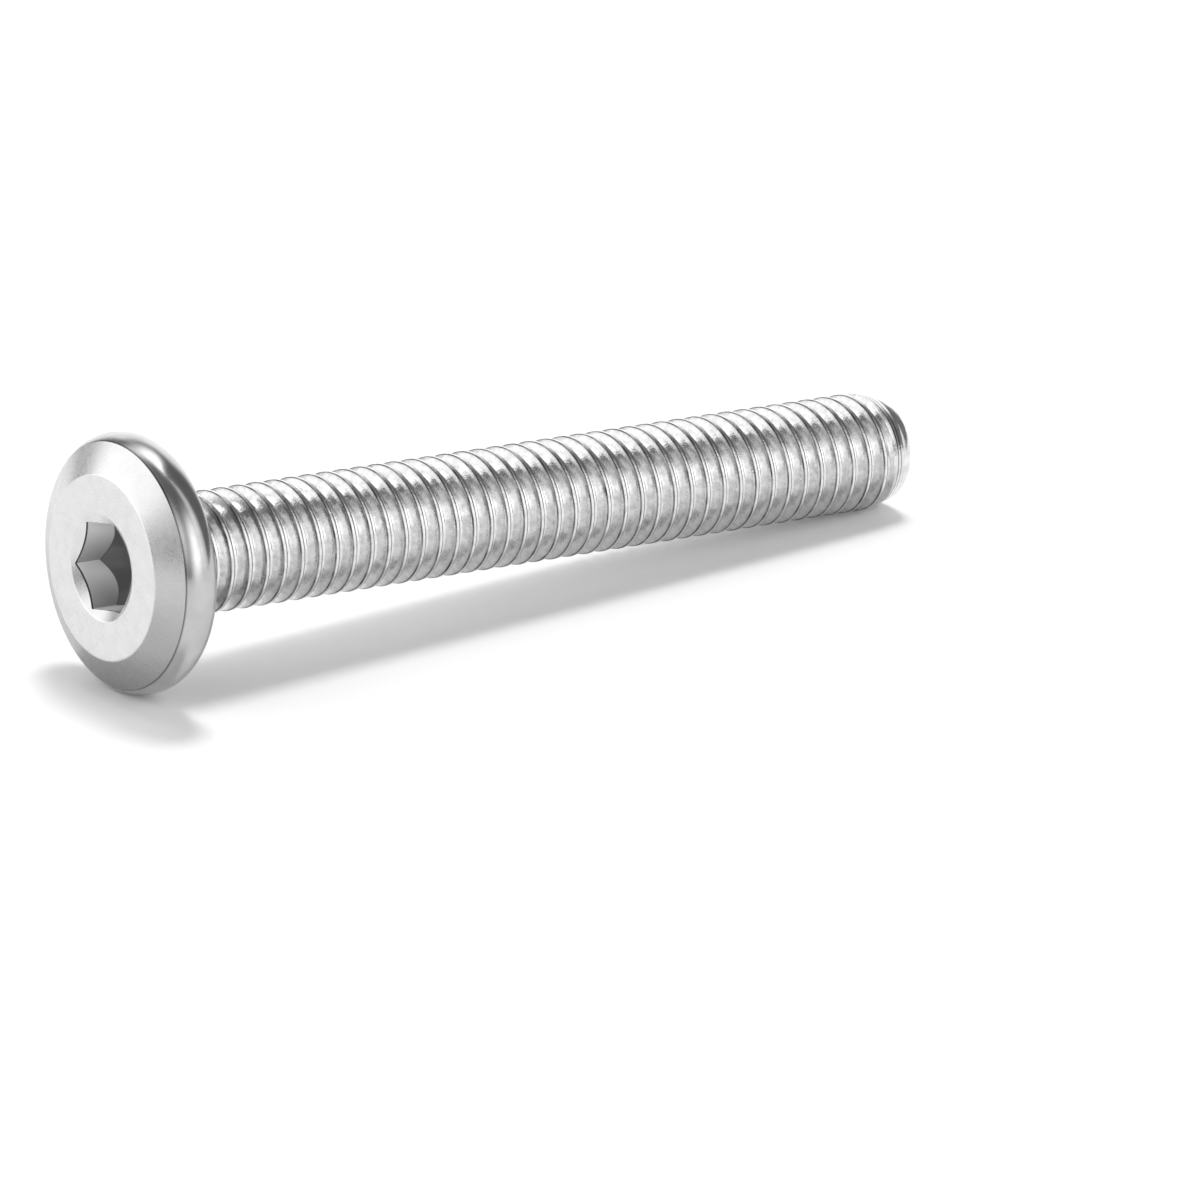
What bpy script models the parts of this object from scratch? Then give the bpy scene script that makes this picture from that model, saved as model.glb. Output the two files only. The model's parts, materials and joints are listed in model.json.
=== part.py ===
"""Hex socket connector bolt, M6 x 1, of plated steel, lying where it comes to rest.

The bolt is one solid. It is modelled upright along +Z, with the flat front of the head at z = 0 and the
tip at the top, and is then laid down along +X on the rim of its head and the last full crests of its
thread. Its +X side becomes the underside. Lengths are in metres.
"""
import math

import bmesh
import bpy
import numpy as np
from mathutils import Matrix

MM = 0.001

# Head: a flat front face, a bevel, a rounded rim and a flat underside
HEAD_DIAMETER = 12.4 * MM
HEAD_THICKNESS = 2.5 * MM
FACE_DIAMETER = 8.75 * MM
BEVEL_DEPTH = 0.75 * MM
RIM_BULGE = 0.35 * MM

# Thread: metric coarse, right-handed, its crests slightly under the nominal size as a rolled thread's are
LENGTH_UNDER_HEAD = 44.1 * MM
NOMINAL_DIAMETER = 6.0 * MM
PITCH = 1.0 * MM
FLANK_ANGLE = math.radians(30)
CREST_ALLOWANCE = 0.18 * MM
THREAD_START_ANGLE = math.radians(-7.5)
RUN_OUT = 1.5 * MM

# Shares of the sharp V of a metric thread: the depth of its root and the width of its nominal crest
ROOT_DEPTH_SHARE = 17 / 24
CREST_WIDTH_SHARE = 1 / 8

# Neck: the blank's own size, with a fillet where it meets the head
NECK_UNDERSIZE = 0.55 * MM
NECK_FILLET = 0.45 * MM
NECK_PLAIN_LENGTH = 0.15 * MM

# Tip: crests and groove run out over a short taper, and the flat end has a round edge
TIP_CREST_DROP = 0.26 * MM
TIP_TAPER_LENGTH = 1.1 * MM
TIP_RUN_OUT = 0.9 * MM
TIP_EDGE_RADIUS = 0.8 * MM

# Socket: six walls that end on a cone, a flat floor and a countersunk mouth
SOCKET_ACROSS_FLATS = 4.12 * MM
SOCKET_CORNER_DEPTH = 1.55 * MM
SOCKET_CONE_DEPTH = 1.65 * MM
SOCKET_FLOOR_DIAMETER = 2.6 * MM
SOCKET_CORNER_ANGLE = math.radians(19)
MOUTH_MARGIN = 0.18 * MM
MOUTH_HALF_ANGLE = math.radians(60)

# Facets: the head has a whole number of them for each one of the thread
THREAD_SEGMENTS = 24
HEAD_SEGMENTS = 3 * THREAD_SEGMENTS
RIM_STEPS = 6
FILLET_STEPS = 3
TIP_STEPS = 4

MERGE_DISTANCE = 0.001 * MM
CUTTER_REACH = 1.0 * MM
SHARP_ANGLE = math.radians(30)
REST_PASSES = 8

OVERALL_LENGTH = HEAD_THICKNESS + LENGTH_UNDER_HEAD
CREST_DIAMETER = NOMINAL_DIAMETER - CREST_ALLOWANCE
CREST_RADIUS = CREST_DIAMETER / 2
TIP_RADIUS = CREST_RADIUS - TIP_CREST_DROP
NECK_RADIUS = (NOMINAL_DIAMETER - NECK_UNDERSIZE) / 2
NECK_FILLET_END = HEAD_THICKNESS + NECK_FILLET
THREAD_START = NECK_FILLET_END + NECK_PLAIN_LENGTH
THREAD_END = OVERALL_LENGTH - TIP_EDGE_RADIUS
SOCKET_CORNER_RADIUS = SOCKET_ACROSS_FLATS / 2 / math.cos(math.pi / 6)


def clear_scene():
    for thing in list(bpy.data.objects):
        bpy.data.objects.remove(thing, do_unlink=True)


def plated_steel():
    """Bright plated steel with a fine satin."""
    material = bpy.data.materials.new("plated_steel")
    material.use_nodes = True
    shader = material.node_tree.nodes["Principled BSDF"]
    shader.inputs["Base Color"].default_value = (0.76, 0.76, 0.75, 1.0)
    shader.inputs["Metallic"].default_value = 1.0
    shader.inputs["Roughness"].default_value = 0.3
    return material


def add_outline(mesh, points, turn):
    """A chain of edges through (radius, height) points, turned about Z from the XZ plane."""
    corners = [mesh.verts.new((radius * math.cos(turn), radius * math.sin(turn), height))
               for radius, height in points]
    edges = [mesh.edges.new(pair) for pair in zip(corners, corners[1:])]
    return corners + edges


def merge(mesh):
    bmesh.ops.remove_doubles(mesh, verts=mesh.verts[:], dist=MERGE_DISTANCE)


def turn_outline(mesh, points, segments, start):
    """Sweep an outline once round Z, from the angle where its first facet starts."""
    outline = add_outline(mesh, points, start)
    bmesh.ops.spin(mesh, geom=outline, cent=(0, 0, 0), axis=(0, 0, 1), angle=math.tau, steps=segments)
    merge(mesh)


def turn_head_outline(mesh, points):
    """Sweep an outline as finely as the head, from half a facet off +X, so a flat of the rim faces down."""
    turn_outline(mesh, points, HEAD_SEGMENTS, math.pi / HEAD_SEGMENTS)


def arc(centre, radius, start, end, steps):
    """Points of an arc in the (radius, height) plane, both ends included."""
    return [(centre[0] + radius * math.cos(angle), centre[1] + radius * math.sin(angle))
            for angle in np.linspace(start, end, steps + 1)]


def head_outline():
    """From the middle of the front face over bevel and rim to the underside, and round into the neck."""
    half_rim = (HEAD_THICKNESS - BEVEL_DEPTH) / 2
    rim_radius = (half_rim ** 2 + RIM_BULGE ** 2) / (2 * RIM_BULGE)
    rim_centre = (HEAD_DIAMETER / 2 - rim_radius, BEVEL_DEPTH + half_rim)
    half_sweep = math.asin(half_rim / rim_radius)
    rim = arc(rim_centre, rim_radius, -half_sweep, half_sweep, RIM_STEPS)

    fillet_centre = (NECK_RADIUS + NECK_FILLET, NECK_FILLET_END)
    fillet = arc(fillet_centre, NECK_FILLET, -math.pi / 2, -math.pi, FILLET_STEPS)
    return [(0.0, 0.0), (FACE_DIAMETER / 2, 0.0)] + rim + fillet


def thread_tooth(base):
    """One pitch of the thread, from root to root, above the height base."""
    flank_slope = math.tan(FLANK_ANGLE)
    root_radius = NOMINAL_DIAMETER / 2 - ROOT_DEPTH_SHARE * PITCH / (2 * flank_slope)
    crest_width = CREST_WIDTH_SHARE * PITCH + CREST_ALLOWANCE * flank_slope
    flank_width = (CREST_RADIUS - root_radius) * flank_slope
    root_width = PITCH - crest_width - 2 * flank_width
    heights = base + np.cumsum([0.0, root_width, flank_width, crest_width, flank_width])
    radii = (root_radius, root_radius, CREST_RADIUS, CREST_RADIUS, root_radius)
    return list(zip(radii, heights))


def limit_thread(mesh):
    """Fade the thread into the neck and into the taper of the tip, and press both ends flat."""
    for corner in mesh.verts:
        height = min(max(corner.co.z, THREAD_START), THREAD_END)
        radius = math.hypot(corner.co.x, corner.co.y)
        neck_depth = min((height - THREAD_START) / RUN_OUT, 1.0)
        tip_depth = min((THREAD_END - height) / TIP_RUN_OUT, 1.0)
        taper = TIP_RADIUS + TIP_CREST_DROP * (THREAD_END - height) / TIP_TAPER_LENGTH
        faded = min(NECK_RADIUS + neck_depth * (radius - NECK_RADIUS), taper)
        limited = taper + tip_depth * (faded - taper)
        corner.co.x *= limited / radius
        corner.co.y *= limited / radius
        corner.co.z = height
    merge(mesh)


def open_ring(mesh, height):
    """The open edges that lie at one height."""
    return [edge for edge in mesh.edges
            if edge.is_boundary and all(abs(end.co.z - height) < MERGE_DISTANCE for end in edge.verts)]


def tip_outline():
    """From the end of the thread over the round edge to the middle of the flat end."""
    edge_centre = (TIP_RADIUS - TIP_EDGE_RADIUS, THREAD_END)
    return arc(edge_centre, TIP_EDGE_RADIUS, 0.0, math.pi / 2, TIP_STEPS) + [(0.0, OVERALL_LENGTH)]


def add_threaded_shank(mesh):
    """The thread wound up from one tooth, open at the neck and closed by the tip."""
    base = THREAD_START - PITCH
    turns = math.ceil((THREAD_END - base) / PITCH) + 1
    tooth = add_outline(mesh, thread_tooth(base), THREAD_START_ANGLE)
    bmesh.ops.spin(mesh, geom=tooth, cent=(0, 0, 0), axis=(0, 0, 1), dvec=(0, 0, PITCH / THREAD_SEGMENTS),
                   angle=math.tau * turns, steps=THREAD_SEGMENTS * turns)
    merge(mesh)
    limit_thread(mesh)
    turn_outline(mesh, tip_outline(), THREAD_SEGMENTS, THREAD_START_ANGLE)


def blank_bolt():
    """The whole bolt without its socket, upright, as one closed mesh."""
    mesh = bmesh.new()
    add_threaded_shank(mesh)
    turn_head_outline(mesh, head_outline())
    bmesh.ops.bridge_loops(mesh, edges=open_ring(mesh, NECK_FILLET_END) + open_ring(mesh, THREAD_START))
    return add_solid("bolt", mesh)


def add_solid(name, mesh):
    bmesh.ops.recalc_face_normals(mesh, faces=mesh.faces[:])
    data = bpy.data.meshes.new(name)
    mesh.to_mesh(data)
    mesh.free()
    solid = bpy.data.objects.new(name, data)
    bpy.context.scene.collection.objects.link(solid)
    return solid


def add_cutter(name, mesh, bolt):
    """A cutter that lies down with the bolt."""
    cutter = add_solid(name, mesh)
    cutter.parent = bolt
    cutter.hide_render = True
    cutter.display_type = "WIRE"
    return cutter


def apply_cutter(target, cutter, operation):
    boolean = target.modifiers.new(cutter.name, "BOOLEAN")
    boolean.operation = operation
    boolean.object = cutter
    boolean.solver = "EXACT"


def turned_cutter(name, points, bolt):
    """A solid of revolution, from an outline whose ends lie on the axis."""
    mesh = bmesh.new()
    turn_head_outline(mesh, points)
    return add_cutter(name, mesh, bolt)


def hexagonal_broach(bolt):
    """A six-sided bar as deep as the socket."""
    depth = SOCKET_CORNER_DEPTH + SOCKET_CONE_DEPTH
    mesh = bmesh.new()
    # The first corner of a circle lies on +Y
    turned = Matrix.Rotation(SOCKET_CORNER_ANGLE - math.pi / 2, 4, "Z")
    placed = Matrix.Translation((0, 0, -CUTTER_REACH)) @ turned
    bmesh.ops.create_circle(mesh, segments=6, radius=SOCKET_CORNER_RADIUS, cap_ends=True, matrix=placed)
    bar = bmesh.ops.extrude_face_region(mesh, geom=mesh.faces[:])
    far_corners = [item for item in bar["geom"] if isinstance(item, bmesh.types.BMVert)]
    bmesh.ops.translate(mesh, verts=far_corners, vec=(0, 0, depth + CUTTER_REACH))
    return add_cutter("socket_broach", mesh, bolt)


def cut_socket(bolt):
    """Cut the six walls, which end where they meet the cone, and then countersink their mouth."""
    floor_radius = SOCKET_FLOOR_DIAMETER / 2
    depth = SOCKET_CORNER_DEPTH + SOCKET_CONE_DEPTH
    cone_slope = (SOCKET_CORNER_RADIUS - floor_radius) / SOCKET_CONE_DEPTH
    cone_top = -2 * CUTTER_REACH
    cone_top_radius = floor_radius + (depth - cone_top) * cone_slope
    cone = turned_cutter("socket_cone", [(0.0, cone_top), (cone_top_radius, cone_top),
                                         (floor_radius, depth), (0.0, depth)], bolt)
    broach = hexagonal_broach(bolt)
    apply_cutter(broach, cone, "INTERSECT")

    mouth_slope = math.tan(MOUTH_HALF_ANGLE)
    mouth_radius = SOCKET_CORNER_RADIUS + MOUTH_MARGIN
    mouth = turned_cutter("socket_mouth", [(0.0, -CUTTER_REACH),
                                           (mouth_radius + CUTTER_REACH * mouth_slope, -CUTTER_REACH),
                                           (0.0, mouth_radius / mouth_slope)], bolt)
    apply_cutter(bolt, broach, "DIFFERENCE")
    apply_cutter(bolt, mouth, "DIFFERENCE")


def dip_at_rest(corners):
    """How far the axis dips towards the tip when both the head and the thread touch the floor."""
    head = corners[corners[:, 2] < HEAD_THICKNESS]
    thread = corners[corners[:, 2] > OVERALL_LENGTH / 2]
    dip = 0.0
    for _ in range(REST_PASSES):
        down = np.array((math.cos(dip), 0.0, math.sin(dip)))
        heel = head[np.argmax(head @ down)]
        toe = thread[np.argmax(thread @ down)]
        dip = math.atan2(heel[0] - toe[0], toe[2] - heel[2])
    return dip


def lay_down(bolt):
    """Lay the bolt along +X, with its lowest points at z = 0 and its footprint centred on the origin."""
    corners = np.array([tuple(corner.co) for corner in bolt.data.vertices])
    laid = Matrix.Rotation(math.pi / 2 + dip_at_rest(corners), 3, "Y")
    placed = corners @ np.array(laid).T
    low, high = placed.min(axis=0), placed.max(axis=0)
    middle = (low + high) / 2
    bolt.rotation_euler = laid.to_euler()
    bolt.location = (-middle[0], -middle[1], -low[2])


def build():
    clear_scene()
    bolt = blank_bolt()
    cut_socket(bolt)
    lay_down(bolt)
    bolt.data.materials.append(plated_steel())
    bolt.data.shade_smooth()
    bolt.data.set_sharp_from_angle(angle=SHARP_ANGLE)


build()
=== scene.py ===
import json
import math

import bmesh
import bpy
import numpy as np
from mathutils import Matrix, Vector


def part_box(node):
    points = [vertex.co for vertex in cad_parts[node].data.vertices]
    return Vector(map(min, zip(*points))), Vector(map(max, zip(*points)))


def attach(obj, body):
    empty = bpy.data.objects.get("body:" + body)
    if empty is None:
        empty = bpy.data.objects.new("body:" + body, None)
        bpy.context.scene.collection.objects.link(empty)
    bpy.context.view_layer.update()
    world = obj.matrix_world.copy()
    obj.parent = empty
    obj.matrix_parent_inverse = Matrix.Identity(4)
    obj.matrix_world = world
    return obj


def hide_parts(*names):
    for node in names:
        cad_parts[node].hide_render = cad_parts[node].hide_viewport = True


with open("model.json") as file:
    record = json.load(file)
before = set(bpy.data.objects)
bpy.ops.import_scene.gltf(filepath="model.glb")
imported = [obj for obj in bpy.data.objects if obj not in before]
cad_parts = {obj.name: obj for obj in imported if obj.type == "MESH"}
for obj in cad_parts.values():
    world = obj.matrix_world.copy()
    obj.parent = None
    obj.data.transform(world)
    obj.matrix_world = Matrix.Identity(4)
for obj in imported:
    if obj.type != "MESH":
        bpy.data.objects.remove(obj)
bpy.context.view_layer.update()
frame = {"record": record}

MM = 0.001

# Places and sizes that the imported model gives
mounts = {mount["name"]: mount for mount in frame["record"]["mounts"]}
AXIS = Vector(mounts["tip_face"]["axis"]).normalized()
TIP_CENTRE = Vector(mounts["tip_face"]["pos_m"])
FRONT_POINT = Vector(mounts["front_face"]["pos_m"])
UNDERSIDE_POINT = Vector(mounts["underside"]["pos_m"])
OVERALL_LENGTH = (TIP_CENTRE - FRONT_POINT).dot(AXIS)
HEAD_THICKNESS = (UNDERSIDE_POINT - FRONT_POINT).dot(AXIS)
FRONT_CENTRE = TIP_CENTRE - OVERALL_LENGTH * AXIS
box_low, box_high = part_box("bolt")
HEAD_DIAMETER = box_high[1] - box_low[1]

# Head
FACE_DIAMETER = 8.75 * MM
BEVEL_DEPTH = 0.75 * MM
RIM_BULGE = 0.35 * MM
FACE_EDGE_RADIUS = 0.12 * MM

# Thread
NOMINAL_DIAMETER = 6.0 * MM
PITCH = 1.0 * MM
FLANK_ANGLE = math.radians(30)
CREST_ALLOWANCE = 0.18 * MM
CREST_WIDTH_SHARE = 1 / 8
ROOT_DEPTH_SHARE = 17 / 24
ROOT_RADIUS = 0.135 * MM
CREST_EDGE_RADIUS = 0.11 * MM
THREAD_START_ANGLE = math.radians(-7.5)
RUN_OUT = 1.5 * MM

# Neck and tip
NECK_RADIUS = NOMINAL_DIAMETER / 2 - 0.275 * MM
NECK_FILLET = 0.45 * MM
NECK_PLAIN_LENGTH = 0.15 * MM
THREAD_START = HEAD_THICKNESS + NECK_FILLET + NECK_PLAIN_LENGTH
TIP_CREST_DROP = 0.26 * MM
TIP_TAPER_LENGTH = 1.1 * MM
TIP_RUN_OUT = 0.9 * MM
TIP_EDGE_RADIUS = 0.8 * MM
THREAD_END = OVERALL_LENGTH - TIP_EDGE_RADIUS

# Socket
SOCKET_ACROSS_FLATS = 4.12 * MM
SOCKET_CORNER_DEPTH = 1.55 * MM
SOCKET_CONE_DEPTH = 1.65 * MM
SOCKET_FLOOR_DIAMETER = 2.6 * MM
SOCKET_CORNER_ANGLE = math.radians(19)
SOCKET_CORNER_FILLET = 0.04 * MM
MOUTH_MARGIN = 0.18 * MM
MOUTH_HALF_ANGLE = math.radians(60)
MOUTH_EDGE_RADIUS = 0.1 * MM
CUTTER_REACH = 1.0 * MM

# Fineness of the surfaces
SEGMENTS = 80
RIM_STEPS = 16
FLANK_ROWS = (0.3, 0.65)
ROOT_STEPS = 3
CREST_EDGE_STEPS = 4
EDGE_STEPS = 4
FILLET_STEPS = 8
TIP_STEPS = 12
TIP_FACE_RINGS = (0.9, 0.5)
SOCKET_CORNER_STEPS = 3
SPARE_TURNS = 3
MOUTH_FACING = 0.3
MERGE_DISTANCE = 0.0005 * MM
SMOOTH_ANGLE = math.radians(35)

# Finishes. A pair of tones is bright and dull, and a pair of roughnesses is smooth and rough
FACE_TONES = (0.68, 0.64)
FACE_ROUGHNESS = (0.24, 0.34)
FACE_GRAIN_DEPTH = 0.004 * MM
RING_DEPTH = 0.0006 * MM
# Tone of the painted shade on the bevel's lower side
BEVEL_SHADE_TONE = 0.36
RIM_TONES = (0.52, 0.46)
RIM_ROUGHNESS = (0.16, 0.24)
RIM_MARK_DEPTH = 0.001 * MM
RIM_GRAIN_DEPTH = 0.003 * MM
# Tone of the painted shade line round the rim's front edge, where the rim meets the bevel
RIM_SHADE_LINE_TONE = 0.16
THREAD_TONES = (0.8, 0.65)
THREAD_ROUGHNESS = (0.1, 0.24)
THREAD_GRAIN_DEPTH = 0.016 * MM
THREAD_MARK_DEPTH = 0.0008 * MM
CREST_PIT_DEPTH = 0.007 * MM
# Painted shade along each edge of a crest, and a fainter painted shade over the flank beside it
CREST_SHADE_TONE = 0.05
CREST_SHADE_STRENGTHS = (0.55, 1.0)
SHOULDER_SHADE_STRENGTH = 0.18
SOCKET_METALLIC = 0.1
# Socket wall tones for painted shade: each wall is darkest towards its lower corner
SOCKET_WALL_SHADE_TONES = (0.4, 1.0)
SOCKET_ROUGHNESS = (0.4, 0.5)
BROACH_MARK_DEPTH = 0.002 * MM
BROACH_MARK_STRETCH = 0.12
# Tone of the painted shade over the cone at the socket's end
DEEP_END_SHADE_TONE = 0.16
# Tone of the painted shade line along the top edge of the socket walls
LIP_SHADE_TONE = 0.05
CLOUD_RANGE = (0.35, 0.7)
NOISE_RANGE = (0.3, 0.7)

# Edges of the finishes, in millimetres: where a mask is zero and where it is one
# The next two edges mark out the bevel, where painted shade darkens its lower side
BEVEL_INNER_EDGE = (FACE_DIAMETER / 2 / MM - 0.2, FACE_DIAMETER / 2 / MM)
BEVEL_FRONT_EDGE = (0.005, 0.05)
# Mask of the painted shade line round the rim's front edge
RIM_SHADE_LINE_EDGE = (BEVEL_DEPTH / MM + 0.1, BEVEL_DEPTH / MM + 0.02)
THREAD_TIP_EDGE = (THREAD_END / MM, THREAD_END / MM - 0.3)
CREST_EDGE = (0.2, 0.1)
# Masks of the painted shade along each crest edge and over the flank beside it
CREST_SHADE_INNER_EDGE = (0.055, 0.075)
CREST_SHADE_OUTER_EDGE = (0.15, 0.13)
SHOULDER_SHADE_INNER_EDGE = (0.05, 0.08)
SHOULDER_SHADE_OUTER_EDGE = (0.24, 0.12)

# Sizes that follow from the ones above
CREST_RADIUS = (NOMINAL_DIAMETER - CREST_ALLOWANCE) / 2
TIP_RADIUS = CREST_RADIUS - TIP_CREST_DROP
FLANK_SLOPE = math.tan(FLANK_ANGLE)
THREAD_ROOT = NOMINAL_DIAMETER / 2 - ROOT_DEPTH_SHARE * PITCH / (2 * FLANK_SLOPE)
CREST_WIDTH = CREST_WIDTH_SHARE * PITCH + CREST_ALLOWANCE * FLANK_SLOPE
FLANK_WIDTH = (CREST_RADIUS - THREAD_ROOT) * FLANK_SLOPE
ROOT_WIDTH = PITCH - CREST_WIDTH - 2 * FLANK_WIDTH
FIRST_ROOT = THREAD_START - 2 * PITCH + ROOT_WIDTH / 2
FIRST_CREST = FIRST_ROOT + ROOT_WIDTH / 2 + FLANK_WIDTH + CREST_WIDTH / 2
SOCKET_CORNER_RADIUS = SOCKET_ACROSS_FLATS / 2 / math.cos(math.pi / 6)
SOCKET_DEPTH = SOCKET_CORNER_DEPTH + SOCKET_CONE_DEPTH
CONE_SLOPE = (SOCKET_CORNER_RADIUS - SOCKET_FLOOR_DIAMETER / 2) / SOCKET_CONE_DEPTH
CONE_START = SOCKET_CORNER_RADIUS + CONE_SLOPE * SOCKET_CORNER_DEPTH
MOUTH_RADIUS = SOCKET_CORNER_RADIUS + MOUTH_MARGIN
MOUTH_SLOPE = math.tan(MOUTH_HALF_ANGLE)
# Masks of the painted shade over the cone at the socket's end
CONE_EDGE = (CONE_START / MM - 0.06, CONE_START / MM - 0.02)
SOCKET_FLOOR_EDGE = (SOCKET_DEPTH / MM - 0.06, SOCKET_DEPTH / MM - 0.02)
# Mask of the painted shade line along the top edge of the socket walls
LIP_SHADE_EDGE = (MOUTH_RADIUS / MM + 0.21, MOUTH_RADIUS / MM + 0.13)

# The bolt's own frame: +Z from head to tip, +X down, +Y as in the room, and the front face at zero
ACROSS = Vector((0.0, 1.0, 0.0))
TURNED = Matrix((ACROSS.cross(AXIS), ACROSS, AXIS)).transposed()
LAID = Matrix.Translation(FRONT_CENTRE) @ TURNED.to_4x4()


# Modelling

def rounded(points, radii, steps):
    """An outline of (radius, height) points whose inner corners are rounded, each with its own radius."""
    outline = [Vector(points[0])]
    for before, corner, after, radius, count in zip(points, points[1:], points[2:], radii, steps):
        corner = Vector(corner)
        if radius == 0.0:
            outline.append(corner)
            continue
        to_before = (Vector(before) - corner).normalized()
        to_after = (Vector(after) - corner).normalized()
        half = to_before.angle(to_after) / 2
        centre = corner + (to_before + to_after).normalized() * radius / math.sin(half)
        first = corner + to_before * radius / math.tan(half) - centre
        last = corner + to_after * radius / math.tan(half) - centre
        sweep = first.angle_signed(last)
        for step in range(count + 1):
            turned = first.copy()
            turned.rotate(Matrix.Rotation(-sweep * step / count, 2))
            outline.append(centre + turned)
    outline.append(Vector(points[-1]))
    return outline


def on_seam(point):
    """The place of a (radius, height) point in the plane where the thread starts."""
    radius, height = point
    return Vector((radius * math.cos(THREAD_START_ANGLE), radius * math.sin(THREAD_START_ANGLE), height))


def draw_outline(name, points):
    """An open chain of edges, drawn by extruding one vertex from point to point."""
    bpy.ops.object.select_all(action="DESELECT")
    bpy.ops.mesh.primitive_plane_add(size=MM)
    outline = bpy.context.object
    outline.name = name
    bpy.ops.object.mode_set(mode="EDIT")
    bpy.ops.mesh.select_mode(type="VERT")
    bpy.ops.mesh.select_all(action="SELECT")
    bpy.ops.mesh.merge(type="CENTER")
    places = [on_seam(point) for point in points]
    bpy.ops.transform.translate(value=places[0])
    for place, following in zip(places, places[1:]):
        bpy.ops.mesh.extrude_vertices_move(TRANSFORM_OT_translate={"value": following - place})
    bpy.ops.object.mode_set(mode="OBJECT")
    return outline


def merge_doubles():
    bpy.ops.mesh.select_all(action="SELECT")
    bpy.ops.mesh.remove_doubles(threshold=MERGE_DISTANCE)


def spin_outline(name, points):
    """A turned surface."""
    turned = draw_outline(name, points)
    bpy.ops.object.mode_set(mode="EDIT")
    bpy.ops.mesh.select_all(action="SELECT")
    bpy.ops.mesh.spin(steps=SEGMENTS, angle=math.tau, center=(0, 0, 0), axis=(0, 0, 1))
    merge_doubles()
    bpy.ops.object.mode_set(mode="OBJECT")
    return turned


def apply_modifiers(piece):
    bpy.ops.object.select_all(action="DESELECT")
    bpy.context.view_layer.objects.active = piece
    piece.select_set(True)
    for modifier in list(piece.modifiers):
        bpy.ops.object.modifier_apply(modifier=modifier.name)


def head_outline():
    """From the middle of the socket's mouth over the face, bevel and rim to the neck."""
    half_rim = (HEAD_THICKNESS - BEVEL_DEPTH) / 2
    rim_radius = (half_rim ** 2 + RIM_BULGE ** 2) / (2 * RIM_BULGE)
    rim_centre = HEAD_DIAMETER / 2 - rim_radius
    half_sweep = math.asin(half_rim / rim_radius)
    rim = [(rim_centre + rim_radius * math.cos(angle),
            BEVEL_DEPTH + half_rim + rim_radius * math.sin(angle))
           for angle in np.linspace(-half_sweep, half_sweep, RIM_STEPS + 1)]
    mouth_depth = MOUTH_RADIUS / MOUTH_SLOPE
    corners = [(0.0, mouth_depth), (MOUTH_RADIUS, 0.0), (FACE_DIAMETER / 2, 0.0)]
    corners += rim
    corners += [(NECK_RADIUS, HEAD_THICKNESS), (NECK_RADIUS, HEAD_THICKNESS + NECK_FILLET)]
    radii = [MOUTH_EDGE_RADIUS, FACE_EDGE_RADIUS] + [0.0] * len(rim) + [0.0]
    steps = [EDGE_STEPS] * len(radii)
    outline = rounded(corners, radii, steps)[:-2]
    fillet_centre = (NECK_RADIUS + NECK_FILLET, HEAD_THICKNESS + NECK_FILLET)
    outline += [Vector((fillet_centre[0] - NECK_FILLET * math.sin(angle),
                        fillet_centre[1] - NECK_FILLET * math.cos(angle)))
                for angle in np.linspace(0.0, math.pi / 2, FILLET_STEPS + 1)]
    return outline


def tooth_outline():
    """One pitch of the thread, from the middle of one root to the middle of the next."""
    widths = [0.0, ROOT_WIDTH / 2, FLANK_WIDTH, CREST_WIDTH, FLANK_WIDTH, ROOT_WIDTH / 2]
    heights = FIRST_ROOT + np.cumsum(widths)
    radii = (THREAD_ROOT, THREAD_ROOT, CREST_RADIUS, CREST_RADIUS, THREAD_ROOT, THREAD_ROOT)
    corners = list(zip(radii, heights))
    edge_radii = (ROOT_RADIUS, CREST_EDGE_RADIUS, CREST_EDGE_RADIUS, ROOT_RADIUS)
    steps = (ROOT_STEPS, CREST_EDGE_STEPS, CREST_EDGE_STEPS, ROOT_STEPS)
    tooth = rounded(corners, edge_radii, steps)
    flank_starts = (ROOT_STEPS + 1, ROOT_STEPS + 2 * CREST_EDGE_STEPS + 3)
    for start in reversed(flank_starts):
        low, high = tooth[start], tooth[start + 1]
        tooth[start + 1:start + 1] = [low.lerp(high, share) for share in FLANK_ROWS]
    return tooth


def limit_thread(shank):
    """Fade the thread into the neck and into the taper of the tip, and press both ends flat."""
    corners = np.empty(len(shank.data.vertices) * 3)
    shank.data.vertices.foreach_get("co", corners)
    corners = corners.reshape(-1, 3)
    heights = np.clip(corners[:, 2], THREAD_START, THREAD_END)
    radii = np.hypot(corners[:, 0], corners[:, 1])
    neck_depths = np.minimum((heights - THREAD_START) / RUN_OUT, 1.0)
    tip_depths = np.minimum((THREAD_END - heights) / TIP_RUN_OUT, 1.0)
    tapers = TIP_RADIUS + TIP_CREST_DROP * (THREAD_END - heights) / TIP_TAPER_LENGTH
    faded = np.minimum(NECK_RADIUS + neck_depths * (radii - NECK_RADIUS), tapers)
    limited = tapers + tip_depths * (faded - tapers)
    corners[:, :2] *= (limited / radii)[:, None]
    corners[:, 2] = heights
    shank.data.vertices.foreach_set("co", corners.ravel())
    shank.data.update()


def select_open_ring(mesh_object, height):
    """Select the open edges at one height, in edit mode."""
    mesh = bmesh.from_edit_mesh(mesh_object.data)
    for edge in mesh.edges:
        at_height = all(abs(end.co.z - height) < MERGE_DISTANCE for end in edge.verts)
        edge.select = edge.is_boundary and at_height
    mesh.select_flush(True)
    bmesh.update_edit_mesh(mesh_object.data)


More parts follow.
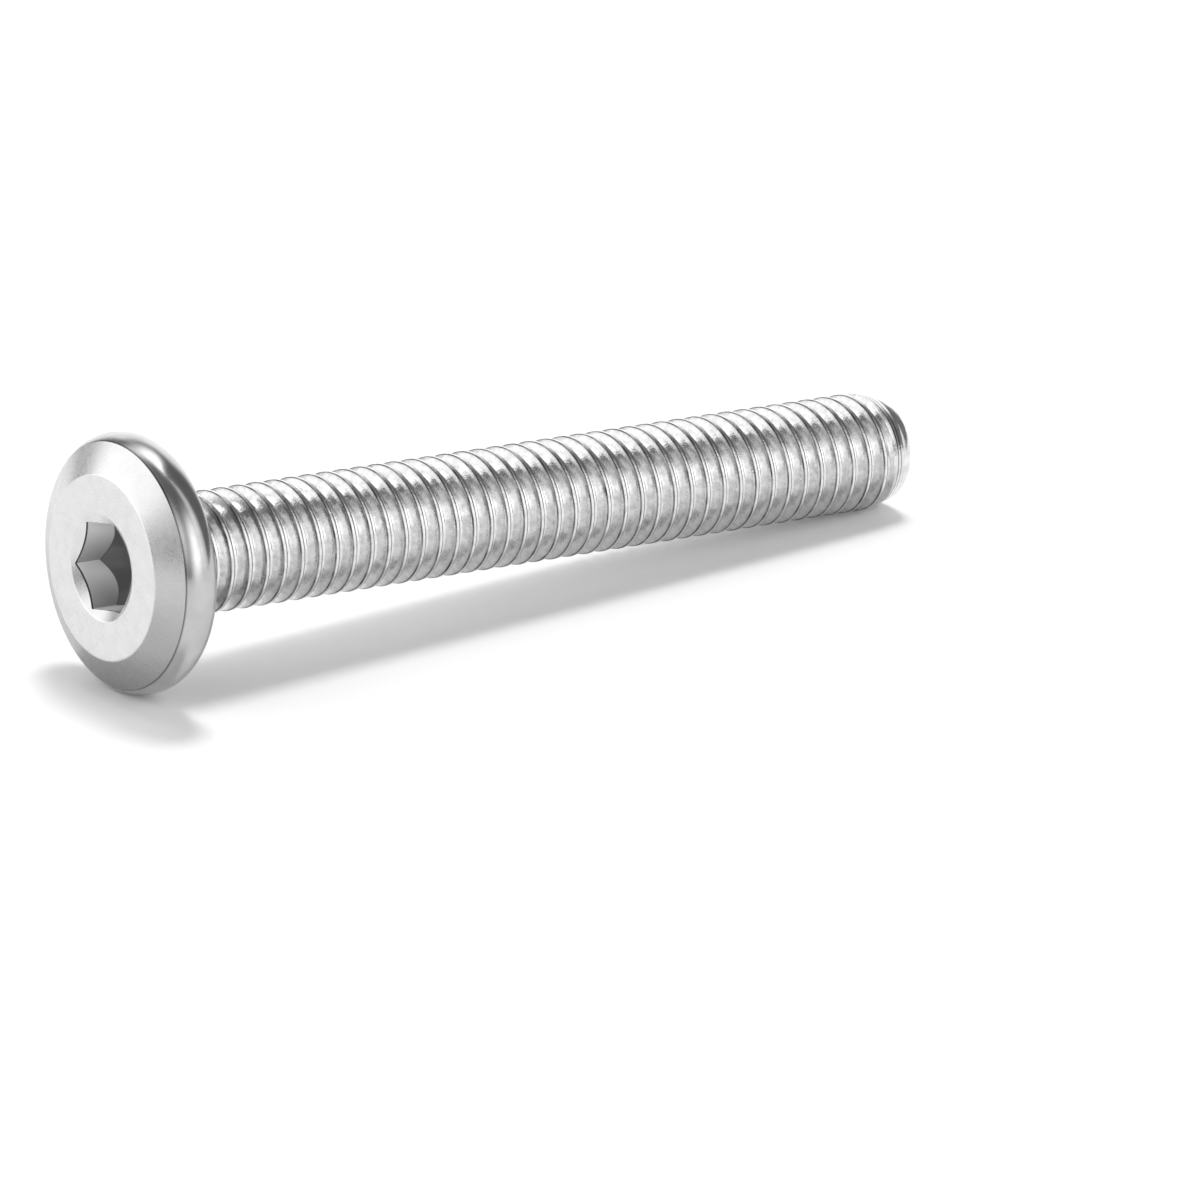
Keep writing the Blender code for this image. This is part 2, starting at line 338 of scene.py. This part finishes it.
def close_tip(shank):
    """Round the edge of the tip over and close its flat end."""
    bpy.ops.object.mode_set(mode="EDIT")
    bpy.ops.mesh.select_mode(type="EDGE")
    bpy.ops.mesh.select_all(action="DESELECT")
    select_open_ring(shank, THREAD_END)
    radius = TIP_RADIUS
    height = THREAD_END
    for step in range(1, TIP_STEPS + 1):
        angle = math.pi / 2 * step / TIP_STEPS
        next_radius = TIP_RADIUS - TIP_EDGE_RADIUS * (1 - math.cos(angle))
        next_height = THREAD_END + TIP_EDGE_RADIUS * math.sin(angle)
        bpy.ops.mesh.extrude_edges_move(TRANSFORM_OT_translate={"value": (0, 0, next_height - height)})
        bpy.ops.transform.resize(value=(next_radius / radius, next_radius / radius, 1),
                                 center_override=(0, 0, next_height))
        radius, height = next_radius, next_height
    for share in TIP_FACE_RINGS:
        bpy.ops.mesh.extrude_edges_move()
        bpy.ops.transform.resize(value=(share, share, 1), center_override=(0, 0, height))
    bpy.ops.mesh.edge_face_add()
    bpy.ops.object.mode_set(mode="OBJECT")


def threaded_shank():
    """The thread wound up from one tooth, open at the neck."""
    shank = draw_outline("shank", tooth_outline())
    turns = math.ceil((OVERALL_LENGTH - THREAD_START) / PITCH) + SPARE_TURNS
    screw = shank.modifiers.new("wind", "SCREW")
    screw.axis = "Z"
    screw.screw_offset = PITCH
    screw.iterations = turns
    screw.steps = SEGMENTS
    screw.render_steps = SEGMENTS
    screw.use_smooth_shade = False
    apply_modifiers(shank)
    bpy.ops.object.mode_set(mode="EDIT")
    merge_doubles()
    bpy.ops.object.mode_set(mode="OBJECT")
    limit_thread(shank)
    bpy.ops.object.mode_set(mode="EDIT")
    merge_doubles()
    bpy.ops.object.mode_set(mode="OBJECT")
    close_tip(shank)
    return shank


def keep_rim_crisp(bolt):
    """Leave the edge where the bevel meets the rim unsmoothed."""
    edge_radius = HEAD_DIAMETER / 2 - RIM_BULGE
    bpy.ops.object.mode_set(mode="EDIT")
    bpy.ops.mesh.select_mode(type="EDGE")
    bpy.ops.mesh.select_all(action="DESELECT")
    mesh = bmesh.from_edit_mesh(bolt.data)
    for edge in mesh.edges:
        ends = [LAID.inverted() @ end.co for end in edge.verts]
        edge.select = all(abs(end.z - BEVEL_DEPTH) < MERGE_DISTANCE
                          and abs(end.xy.length - edge_radius) < MERGE_DISTANCE for end in ends)
    bmesh.update_edit_mesh(bolt.data)
    bpy.ops.mesh.mark_sharp()
    bpy.ops.object.mode_set(mode="OBJECT")


def hexagonal_cutter():
    """A six-sided bar whose end is cut to a cone."""
    bpy.ops.object.select_all(action="DESELECT")
    bpy.ops.mesh.primitive_cylinder_add(vertices=6, radius=SOCKET_CORNER_RADIUS,
                                        depth=SOCKET_DEPTH + CUTTER_REACH,
                                        location=(0, 0, (SOCKET_DEPTH - CUTTER_REACH) / 2),
                                        rotation=(0, 0, SOCKET_CORNER_ANGLE - math.pi / 2))
    bar = bpy.context.object
    bar.name = "socket_bar"
    bpy.ops.object.transform_apply()
    bpy.ops.object.mode_set(mode="EDIT")
    mesh = bmesh.from_edit_mesh(bar.data)
    for edge in mesh.edges:
        edge.select = abs(edge.verts[0].co.z - edge.verts[1].co.z) > CUTTER_REACH
    mesh.select_flush(False)
    bmesh.update_edit_mesh(bar.data)
    bpy.ops.mesh.bevel(offset=SOCKET_CORNER_FILLET, segments=SOCKET_CORNER_STEPS, affect="EDGES")
    bpy.ops.object.mode_set(mode="OBJECT")

    floor_radius = SOCKET_FLOOR_DIAMETER / 2
    cone_height = SOCKET_DEPTH + 2 * CUTTER_REACH
    bpy.ops.object.select_all(action="DESELECT")
    bpy.ops.mesh.primitive_cone_add(vertices=SEGMENTS, radius1=floor_radius + cone_height * CONE_SLOPE,
                                    radius2=floor_radius, depth=cone_height,
                                    location=(0, 0, SOCKET_DEPTH - cone_height / 2))
    cone = bpy.context.object
    bpy.ops.object.transform_apply()
    trim = bar.modifiers.new("trim", "BOOLEAN")
    trim.operation = "INTERSECT"
    trim.object = cone
    trim.solver = "EXACT"
    apply_modifiers(bar)
    bpy.data.objects.remove(cone, do_unlink=True)
    return bar


def fine_bolt():
    shank = threaded_shank()
    head = spin_outline("head", head_outline())
    bpy.ops.object.select_all(action="DESELECT")
    head.select_set(True)
    shank.select_set(True)
    bpy.context.view_layer.objects.active = shank
    bpy.ops.object.join()
    bolt = shank
    bolt.name = "bolt_finished"
    bpy.ops.object.mode_set(mode="EDIT")
    bpy.ops.mesh.select_mode(type="EDGE")
    bpy.ops.mesh.select_all(action="DESELECT")
    mesh = bmesh.from_edit_mesh(bolt.data)
    for edge in mesh.edges:
        edge.select = edge.is_boundary
    bmesh.update_edit_mesh(bolt.data)
    bpy.ops.mesh.bridge_edge_loops()
    bpy.ops.mesh.select_all(action="SELECT")
    bpy.ops.mesh.normals_make_consistent(inside=False)
    bpy.ops.object.mode_set(mode="OBJECT")

    cutter = hexagonal_cutter()
    cut = bolt.modifiers.new("socket", "BOOLEAN")
    cut.operation = "DIFFERENCE"
    cut.object = cutter
    cut.solver = "EXACT"
    apply_modifiers(bolt)
    bpy.data.objects.remove(cutter, do_unlink=True)
    bolt.matrix_world = LAID
    bpy.ops.object.select_all(action="DESELECT")
    bolt.select_set(True)
    bpy.context.view_layer.objects.active = bolt
    bpy.ops.object.transform_apply()
    bpy.ops.object.shade_smooth_by_angle(angle=SMOOTH_ANGLE)
    keep_rim_crisp(bolt)
    return bolt


# Materials

def add_node(tree, kind, inputs=None, **settings):
    """A node with its settings, and its inputs either set or linked."""
    node = tree.nodes.new(kind)
    for name, value in settings.items():
        setattr(node, name, value)
    for name, value in (inputs or {}).items():
        if isinstance(value, bpy.types.NodeSocket):
            tree.links.new(value, node.inputs[name])
        else:
            node.inputs[name].default_value = value
    return node


def calculate(tree, operation, *values):
    node = add_node(tree, "ShaderNodeMath", dict(enumerate(values)), operation=operation)
    return node.outputs[0]


def soft_band(tree, angle, middle, half_width, softness):
    """One inside a range of angles and zero outside it, with soft ends."""
    apart = calculate(tree, "SUBTRACT", angle, math.radians(middle))
    apart = calculate(tree, "WRAP", apart, math.pi, -math.pi)
    outside = math.radians(half_width + softness / 2)
    inside = math.radians(half_width - softness / 2)
    return ramp(tree, calculate(tree, "ABSOLUTE", apart), outside, inside)


def node_group(name, inputs, outputs):
    """An empty node group with named sockets, and the nodes that its inputs and outputs come from."""
    tree = bpy.data.node_groups.new(name, "ShaderNodeTree")
    for socket_name, kind in inputs.items():
        tree.interface.new_socket(name=socket_name, in_out="INPUT", socket_type="NodeSocket" + kind)
    for socket_name, kind in outputs.items():
        tree.interface.new_socket(name=socket_name, in_out="OUTPUT", socket_type="NodeSocket" + kind)
    return tree, tree.nodes.new("NodeGroupInput").outputs, tree.nodes.new("NodeGroupOutput").inputs


def place_group(tree, group, **inputs):
    node = tree.nodes.new("ShaderNodeGroup")
    node.node_tree = group
    for name, value in inputs.items():
        socket = node.inputs[name.replace("_", " ").capitalize()]
        if isinstance(value, bpy.types.NodeSocket):
            tree.links.new(value, socket)
        else:
            socket.default_value = value
    return node.outputs


def ramp(tree, value, low, high):
    """Zero below one value and one above another, with a smooth step between them."""
    ends = {"Value": value, "From Min": low, "From Max": high}
    return add_node(tree, "ShaderNodeMapRange", ends, interpolation_type="SMOOTHSTEP").outputs["Result"]


def mix_colours(tree, share, first, second):
    return add_node(tree, "ShaderNodeMix", {0: share, 6: first, 7: second}, data_type="RGBA").outputs[2]


def bolt_place_group():
    """The place on the bolt in its own frame, in millimetres."""
    results = {"Place": "Vector", "Around": "Vector", "Radius": "Float", "Along": "Float",
               "From crest": "Float"}
    tree, _, result = node_group("bolt_place", {}, results)
    room = add_node(tree, "ShaderNodeTexCoord").outputs["Object"]
    own = add_node(tree, "ShaderNodeMapping", {"Vector": room, "Location": FRONT_CENTRE,
                                               "Rotation": LAID.to_euler(), "Scale": (MM, MM, MM)},
                   vector_type="TEXTURE").outputs["Vector"]
    parts = add_node(tree, "ShaderNodeSeparateXYZ", {"Vector": own}).outputs
    x_squared = calculate(tree, "MULTIPLY", parts["X"], parts["X"])
    y_squared = calculate(tree, "MULTIPLY", parts["Y"], parts["Y"])
    radius = calculate(tree, "SQRT", calculate(tree, "ADD", x_squared, y_squared))
    turn = calculate(tree, "DIVIDE", calculate(tree, "ARCTAN2", parts["Y"], parts["X"]), math.tau)
    directions = {name: calculate(tree, "DIVIDE", parts[name], radius) for name in ("X", "Y")}
    around = add_node(tree, "ShaderNodeCombineXYZ", directions).outputs[0]
    winding = calculate(tree, "SUBTRACT", parts["Z"], calculate(tree, "MULTIPLY", turn, PITCH / MM))
    crest_place = (FIRST_CREST - PITCH * THREAD_START_ANGLE / math.tau) / MM
    from_crest = calculate(tree, "WRAP", calculate(tree, "SUBTRACT", winding, crest_place),
                           PITCH / MM / 2, -PITCH / MM / 2)
    for name, value in (("Place", own), ("Around", around), ("Radius", radius), ("Along", parts["Z"]),
                        ("From crest", from_crest)):
        tree.links.new(value, result[name])
    return tree


def grain_group():
    """Fine and coarse grain mixed, from zero to one."""
    needs = {"Place": "Vector", "Fine size": "Float", "Coarse size": "Float", "Coarse share": "Float"}
    tree, given, result = node_group("grain", needs, {"Height": "Float"})
    layers = []
    for size in ("Fine size", "Coarse size"):
        scale = calculate(tree, "DIVIDE", 1.0, given[size])
        inputs = {"Vector": given["Place"], "Scale": scale, "Detail": 2.0}
        layers.append(add_node(tree, "ShaderNodeTexNoise", inputs).outputs["Fac"])
    mixed = add_node(tree, "ShaderNodeMix", {0: given["Coarse share"], 2: layers[0], 3: layers[1]})
    tree.links.new(mixed.outputs[0], result["Height"])
    return tree


def tool_marks_group():
    """Long marks that run round the bolt, spaced across them by one value."""
    tree, given, result = node_group("tool_marks", {"Around": "Vector", "Across": "Float", "Spacing": "Float",
                                                    "Shortness": "Float"}, {"Height": "Float"})
    round_place = add_node(tree, "ShaderNodeVectorMath", {0: given["Around"], "Scale": given["Shortness"]},
                           operation="SCALE").outputs["Vector"]
    across = calculate(tree, "DIVIDE", given["Across"], given["Spacing"])
    inputs = {"Vector": round_place, "W": across, "Scale": 1.0, "Detail": 3.0}
    noise = add_node(tree, "ShaderNodeTexNoise", inputs, noise_dimensions="4D")
    tree.links.new(noise.outputs["Fac"], result["Height"])
    return tree


def plating_tone_group():
    """The plating's colour, with soft clouds."""
    tree, given, result = node_group("plating_tone", {"Place": "Vector", "Light": "Color", "Dull": "Color",
                                                      "Cloud size": "Float"}, {"Color": "Color"})
    scale = calculate(tree, "DIVIDE", 1.0, given["Cloud size"])
    inputs = {"Vector": given["Place"], "Scale": scale, "Detail": 4.0}
    cloud = add_node(tree, "ShaderNodeTexNoise", inputs).outputs[0]
    colour = mix_colours(tree, ramp(tree, cloud, *CLOUD_RANGE), given["Light"], given["Dull"])
    tree.links.new(colour, result["Color"])
    return tree


def grey(value):
    return (value, value, value, 1.0)


def steel_material(name):
    material = bpy.data.materials.new(name)
    material.use_nodes = True
    tree = material.node_tree
    shader = tree.nodes["Principled BSDF"]
    shader.inputs["Metallic"].default_value = 1.0
    return material, tree, shader.inputs


def bump(tree, shader, layers):
    """Feed one bump per (height, distance) layer into the shader's normal, each on top of the last."""
    normal = None
    for height, distance in layers:
        inputs = {"Height": height, "Distance": distance, "Strength": 1.0}
        if normal:
            inputs["Normal"] = normal
        normal = add_node(tree, "ShaderNodeBump", inputs).outputs["Normal"]
    tree.links.new(normal, shader["Normal"])


def steel_tone(tree, place, tones, cloud_size):
    bright, dull = tones
    return place_group(tree, groups["plating_tone"], place=place["Place"], light=grey(bright),
                       dull=grey(dull), cloud_size=cloud_size)["Color"]


def radius_at_front(tree, place, slope):
    """How wide a cone of one slope, through each point, is at the front of the head."""
    return calculate(tree, "ADD", place["Radius"], calculate(tree, "MULTIPLY", place["Along"], slope))


def varied(tree, value, low, high):
    """A value from zero to one, spread between two others."""
    spread = {"Value": value, "From Min": NOISE_RANGE[0], "From Max": NOISE_RANGE[1],
              "To Min": low, "To Max": high}
    return add_node(tree, "ShaderNodeMapRange", spread).outputs["Result"]


def pressed_head():
    """The satin face and bevel, with faint rings and a fine grain. The bevel's lower side, towards the floor,
    is darkened with painted shade.
    """
    material, tree, shader = steel_material("pressed_head")
    place = place_group(tree, groups["bolt_place"])
    grain = place_group(tree, groups["grain"], place=place["Place"], fine_size=0.07, coarse_size=0.35,
                        coarse_share=0.4)["Height"]
    rings = place_group(tree, groups["tool_marks"], around=place["Around"], across=place["Radius"],
                        spacing=0.06, shortness=1.5)["Height"]
    tone = steel_tone(tree, place, FACE_TONES, cloud_size=0.8)
    # Painted shade: the bevel is darkened towards its lower side, the side that faces the floor
    towards_floor = add_node(tree, "ShaderNodeSeparateXYZ", {"Vector": place["Around"]}).outputs["X"]
    on_bevel = calculate(tree, "MULTIPLY", ramp(tree, place["Along"], *BEVEL_FRONT_EDGE),
                         ramp(tree, place["Radius"], *BEVEL_INNER_EDGE))
    painted_bevel_shade = calculate(tree, "MULTIPLY", ramp(tree, towards_floor, low=-0.6, high=0.5), on_bevel)
    tree.links.new(mix_colours(tree, painted_bevel_shade, tone, grey(BEVEL_SHADE_TONE)), shader["Base Color"])
    tree.links.new(varied(tree, grain, *FACE_ROUGHNESS), shader["Roughness"])
    bump(tree, shader, [(grain, FACE_GRAIN_DEPTH), (rings, RING_DEPTH)])
    return material


def rolled_rim():
    """The smooth round rim and the underside."""
    material, tree, shader = steel_material("rolled_rim")
    place = place_group(tree, groups["bolt_place"])
    marks = place_group(tree, groups["tool_marks"], around=place["Around"], across=place["Along"],
                        spacing=0.08, shortness=1.2)["Height"]
    grain = place_group(tree, groups["grain"], place=place["Place"], fine_size=0.12, coarse_size=0.6,
                        coarse_share=0.6)["Height"]
    tone = steel_tone(tree, place, RIM_TONES, cloud_size=1.2)
    # Painted shade: a dark line round the rim's front edge, where it meets the bevel
    painted_rim_shade_line = ramp(tree, place["Along"], *RIM_SHADE_LINE_EDGE)
    tree.links.new(mix_colours(tree, painted_rim_shade_line, tone, grey(RIM_SHADE_LINE_TONE)), shader["Base Color"])
    tree.links.new(varied(tree, grain, *RIM_ROUGHNESS), shader["Roughness"])
    bump(tree, shader, [(marks, RIM_MARK_DEPTH), (grain, RIM_GRAIN_DEPTH)])
    return material


def rolled_thread():
    """Bright flanks with drawn-out marks, rougher crests, and painted shade: a dark line along each edge of a
    crest and a fainter shade over the flank beside it.
    """
    material, tree, shader = steel_material("rolled_thread")
    place = place_group(tree, groups["bolt_place"])
    off_crest = calculate(tree, "ABSOLUTE", place["From crest"])
    wound = ramp(tree, place["Along"], *THREAD_TIP_EDGE)
    crest = calculate(tree, "MULTIPLY", wound, ramp(tree, off_crest, *CREST_EDGE))
    crest_shade_noise = place_group(tree, groups["tool_marks"], around=place["Around"], across=place["Along"],
                             spacing=0.9, shortness=4.0)["Height"]
    # Painted shade: a dark line along each edge of a crest, and a fainter shade over the flank beside it
    crest_shade = calculate(tree, "MULTIPLY", ramp(tree, off_crest, *CREST_SHADE_INNER_EDGE),
                     ramp(tree, off_crest, *CREST_SHADE_OUTER_EDGE))
    crest_shade = calculate(tree, "MULTIPLY", crest_shade, varied(tree, crest_shade_noise, *CREST_SHADE_STRENGTHS))
    shoulder_shade = calculate(tree, "MULTIPLY", ramp(tree, off_crest, *SHOULDER_SHADE_OUTER_EDGE), SHOULDER_SHADE_STRENGTH)
    shoulder_shade = calculate(tree, "MULTIPLY", shoulder_shade, ramp(tree, off_crest, *SHOULDER_SHADE_INNER_EDGE))
    dark = calculate(tree, "MULTIPLY", wound, calculate(tree, "MAXIMUM", crest_shade, shoulder_shade))
    grain = place_group(tree, groups["grain"], place=place["Place"], fine_size=0.1, coarse_size=0.45,
                        coarse_share=0.6)["Height"]
    pits = place_group(tree, groups["grain"], place=place["Place"], fine_size=0.05, coarse_size=0.12,
                       coarse_share=0.5)["Height"]
    marks = place_group(tree, groups["tool_marks"], around=place["Around"], across=place["From crest"],
                        spacing=0.05, shortness=6.0)["Height"]
    marks = calculate(tree, "MULTIPLY", marks, wound)
    tone = steel_tone(tree, place, THREAD_TONES, cloud_size=0.35)
    tree.links.new(mix_colours(tree, dark, tone, grey(CREST_SHADE_TONE)), shader["Base Color"])
    tree.links.new(varied(tree, grain, *THREAD_ROUGHNESS), shader["Roughness"])
    rough_crest = calculate(tree, "MULTIPLY", pits, crest)
    bump(tree, shader, [(grain, THREAD_GRAIN_DEPTH), (marks, THREAD_MARK_DEPTH),
                        (rough_crest, CREST_PIT_DEPTH)])
    return material


def broached_socket():
    """Walls with marks along the socket, each darkened with painted shade towards its lower corner, painted
    shade over the cone at the socket's end, and a painted shade line along the top edge of the walls.
    """
    material, tree, shader = steel_material("broached_socket")
    shader["Metallic"].default_value = SOCKET_METALLIC
    place = place_group(tree, groups["bolt_place"])
    stretch = {"Vector": place["Place"], "Scale": (1.0, 1.0, BROACH_MARK_STRETCH)}
    stretched = add_node(tree, "ShaderNodeMapping", stretch, vector_type="POINT").outputs["Vector"]
    marks = place_group(tree, groups["grain"], place=stretched, fine_size=0.05, coarse_size=0.2,
                        coarse_share=0.5)["Height"]
    # Painted shade: each wall darkens towards its lower corner
    parts = add_node(tree, "ShaderNodeSeparateXYZ", {"Vector": place["Around"]}).outputs
    turn = calculate(tree, "ARCTAN2", parts["Y"], parts["X"])
    from_corner = calculate(tree, "SUBTRACT", turn, SOCKET_CORNER_ANGLE)
    across = calculate(tree, "FRACT", calculate(tree, "DIVIDE", from_corner, math.pi / 3))
    dull, bright = SOCKET_WALL_SHADE_TONES
    wall = mix_colours(tree, ramp(tree, across, low=-0.1, high=1.0), grey(dull), grey(bright))
    # Painted shade over the cone at the socket's end and its floor
    cone = ramp(tree, radius_at_front(tree, place, CONE_SLOPE), *CONE_EDGE)
    bottom = ramp(tree, place["Along"], *SOCKET_FLOOR_EDGE)
    deep_end_shade = calculate(tree, "MAXIMUM", cone, bottom)
    metal = mix_colours(tree, deep_end_shade, wall, grey(DEEP_END_SHADE_TONE))
    # Painted shade: a dark line along the top edge of the walls, where they meet the mouth
    lip_shade = ramp(tree, radius_at_front(tree, place, MOUTH_SLOPE), *LIP_SHADE_EDGE)
    tree.links.new(mix_colours(tree, lip_shade, metal, grey(LIP_SHADE_TONE)), shader["Base Color"])
    tree.links.new(varied(tree, marks, *SOCKET_ROUGHNESS), shader["Roughness"])
    bump(tree, shader, [(marks, BROACH_MARK_DEPTH)])
    return material


groups = {"bolt_place": bolt_place_group(), "grain": grain_group(), "tool_marks": tool_marks_group(),
          "plating_tone": plating_tone_group()}


def finish_surfaces(bolt):
    """Give each region of the bolt its own finish. A later region takes faces from an earlier one.

    The mouth of the socket faces forward more than its walls do, and keeps the finish of the face.
    """
    to_own = LAID.inverted()
    head_end = HEAD_THICKNESS + MERGE_DISTANCE
    regions = (
        (pressed_head(), lambda place, normal: True),
        (rolled_rim(), lambda place, normal: (BEVEL_DEPTH < place.z <= head_end
                                              and place.xy.length > NECK_RADIUS)),
        (rolled_thread(), lambda place, normal: place.z > head_end),
        (broached_socket(), lambda place, normal: (
            place.xy.length < SOCKET_CORNER_RADIUS
            and MERGE_DISTANCE < place.z < SOCKET_DEPTH + MERGE_DISTANCE
            and (normal.z > -MOUTH_FACING or place.z > SOCKET_CORNER_DEPTH))),
    )
    bpy.ops.object.select_all(action="DESELECT")
    bolt.select_set(True)
    bpy.context.view_layer.objects.active = bolt
    bolt.data.materials.clear()
    for index, (material, belongs) in enumerate(regions):
        bolt.data.materials.append(material)
        bolt.active_material_index = index
        bpy.ops.object.mode_set(mode="EDIT")
        bpy.ops.mesh.select_mode(type="FACE")
        bpy.ops.mesh.select_all(action="DESELECT")
        mesh = bmesh.from_edit_mesh(bolt.data)
        for face in mesh.faces:
            face.select = belongs(to_own @ face.calc_center_median(), to_own.to_3x3() @ face.normal)
        bmesh.update_edit_mesh(bolt.data)
        bpy.ops.object.material_slot_assign()
        bpy.ops.object.mode_set(mode="OBJECT")


# Studio light

# Light panels round the bolt: turn and height of the middle, half width, half height and softness
# of the edge, all in degrees, and brightness
PANELS = {
    "back_left_low": (138.5, 2.5, 19.5, 11.5, 8, 2.15),
    "back_left": (137.5, 31.5, 32.5, 22.5, 25, 1.2),
    "overhead": (74, 75, 38, 22.5, 28, 2.3),
    "back_right": (53, 12, 29.5, 23.5, 20.5, 1.22),
    "front": (-83, 22, 22.5, 24, 42, 2.1),
    "front_right": (-46.5, 44.5, 11.5, 45, 6, 0.82),
    "left": (212, 30, 26, 16, 32, 1.1),
}
DIM_HORIZON = 0.19
DIM_CEILING = 0.18
CEILING_HEIGHT = math.radians(40)
KEY_PLACE = (0.18, 0.15, 0.6)
KEY_ANGLE = math.radians(16)
KEY_ENERGY = 1.35
FLOOR_SIZE = 4.0
PAPER_TONE = 0.95
PAPER_ROUGHNESS = 0.9


def studio_world():
    world = bpy.data.worlds.new("studio")
    bpy.context.scene.world = world
    world.use_nodes = True
    tree = world.node_tree
    direction = add_node(tree, "ShaderNodeSeparateXYZ",
                         {0: add_node(tree, "ShaderNodeTexCoord").outputs["Generated"]})
    turn = calculate(tree, "ARCTAN2", direction.outputs["Y"], direction.outputs["X"])
    height = calculate(tree, "ARCSINE", direction.outputs["Z"])
    dim = {"Value": height, "From Min": 0.0, "From Max": CEILING_HEIGHT,
           "To Min": DIM_HORIZON, "To Max": DIM_CEILING}
    light = add_node(tree, "ShaderNodeMapRange", dim).outputs["Result"]
    for middle_turn, middle_height, half_width, half_height, softness, brightness in PANELS.values():
        across = soft_band(tree, turn, middle_turn, half_width, softness)
        along = soft_band(tree, height, middle_height, half_height, softness)
        panel = calculate(tree, "MULTIPLY", calculate(tree, "MULTIPLY", across, along), brightness)
        light = calculate(tree, "ADD", light, panel)
    background = tree.nodes["Background"]
    tree.links.new(light, background.inputs["Color"])


bolt = fine_bolt()
finish_surfaces(bolt)
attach(bolt, "root")
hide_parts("bolt")

# Studio
bpy.ops.object.select_all(action="DESELECT")
bpy.ops.mesh.primitive_plane_add(size=FLOOR_SIZE)
floor = bpy.context.object
floor.name = "floor"
paper = bpy.data.materials.new("white_paper")
paper.use_nodes = True
paper_shader = paper.node_tree.nodes["Principled BSDF"].inputs
paper_shader["Base Color"].default_value = grey(PAPER_TONE)
paper_shader["Roughness"].default_value = PAPER_ROUGHNESS
floor.data.materials.append(paper)

studio_world()

bpy.ops.object.light_add(type="SUN", location=KEY_PLACE)
key = bpy.context.object
key.data.angle = KEY_ANGLE
key.data.energy = KEY_ENERGY
key.visible_glossy = False
key.rotation_euler = (Vector((0, 0, 0)) - key.location).to_track_quat("-Z", "Y").to_euler()

# Camera, at the photograph's viewing angle
AZIMUTH = math.radians(36.70)
ELEVATION = math.radians(19.87)
DISTANCE = 433.5 * MM
AIM = Vector((-3.55, -12.56, 4.12)) * MM
FOCAL_LENGTH = 278.0
SENSOR_WIDTH = 36.0
NEAREST_DEPTH = 0.01
camera_data = bpy.data.cameras.new("camera")
camera_data.lens = FOCAL_LENGTH
camera_data.sensor_width = SENSOR_WIDTH
camera_data.clip_start = NEAREST_DEPTH
camera = bpy.data.objects.new("camera", camera_data)
bpy.context.scene.collection.objects.link(camera)
forward = Vector((math.sin(AZIMUTH) * math.cos(ELEVATION), math.cos(AZIMUTH) * math.cos(ELEVATION),
                  -math.sin(ELEVATION)))
camera.location = AIM - DISTANCE * forward
camera.rotation_euler = forward.to_track_quat("-Z", "Y").to_euler()
bpy.context.scene.camera = camera
bpy.context.scene.view_settings.view_transform = "Standard"
